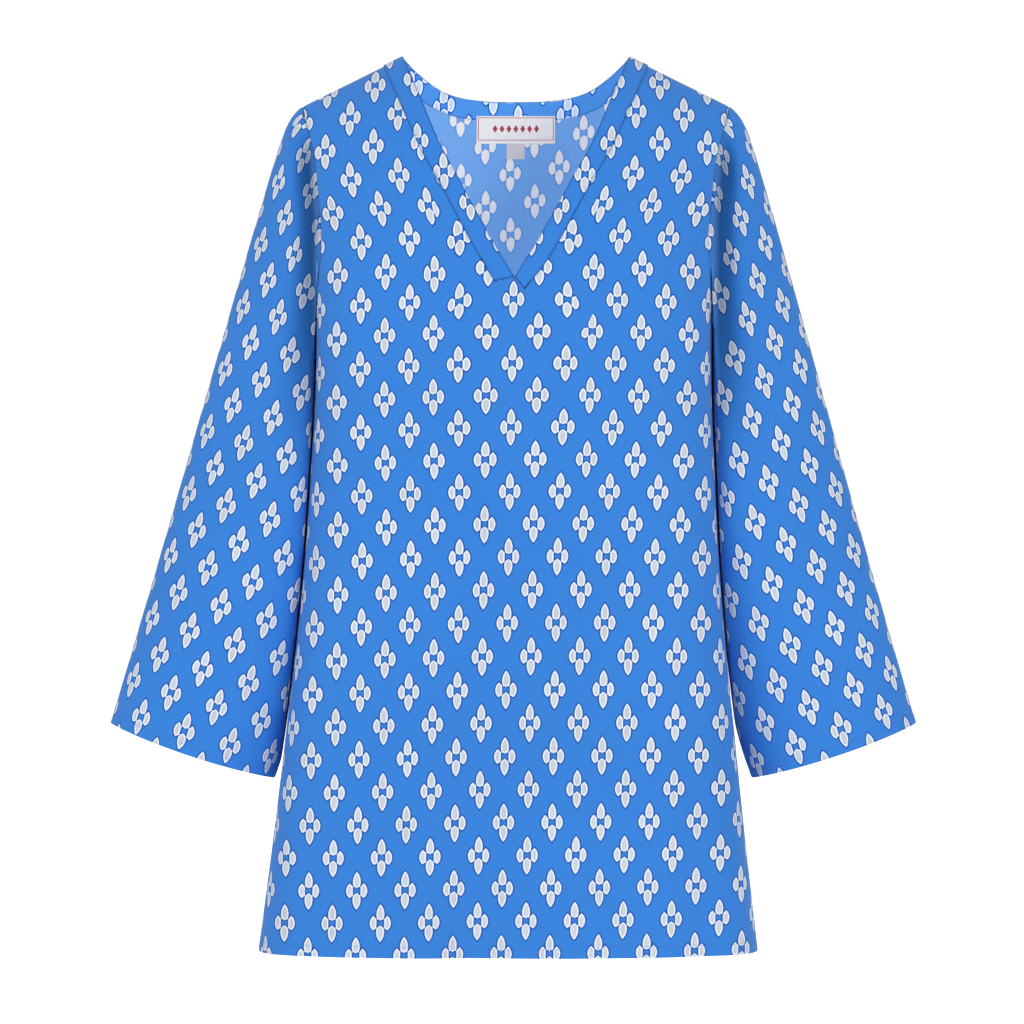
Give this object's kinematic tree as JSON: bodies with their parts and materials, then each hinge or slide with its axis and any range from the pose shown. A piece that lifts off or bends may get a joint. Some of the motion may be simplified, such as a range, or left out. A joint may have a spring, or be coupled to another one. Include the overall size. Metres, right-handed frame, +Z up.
{
  "type": "tunic top",
  "caption": "Loose A-line tunic top with an open V neck edged by flat bands and long flared sleeves, filled out and hollow, in a small all-over print.",
  "frame": {"origin": "midway between the neck ends of the two shoulder seams, where the wearer's shoulders carry the garment", "axes": "+Z up, -Y the way the front faces, +X to the wearer's left"},
  "size_m": [0.7418, 0.2296, 0.8208],
  "materials": {
    "printed_cloth": "smooth matt plain weave, mid blue with a half-drop print of pale four-petal motifs",
    "label_cloth": "white woven satin label",
    "tab_cloth": "pale grey woven tab"
  },
  "bodies": {
    "root": {"front": "printed_cloth", "back": "printed_cloth", "sleeve_left": "printed_cloth", "sleeve_right": "printed_cloth", "neck_band_left": "printed_cloth", "neck_band_right": "printed_cloth", "neck_band_back": "printed_cloth", "label": "label_cloth", "size_tab": "tab_cloth"}
  },
  "joints": []
}
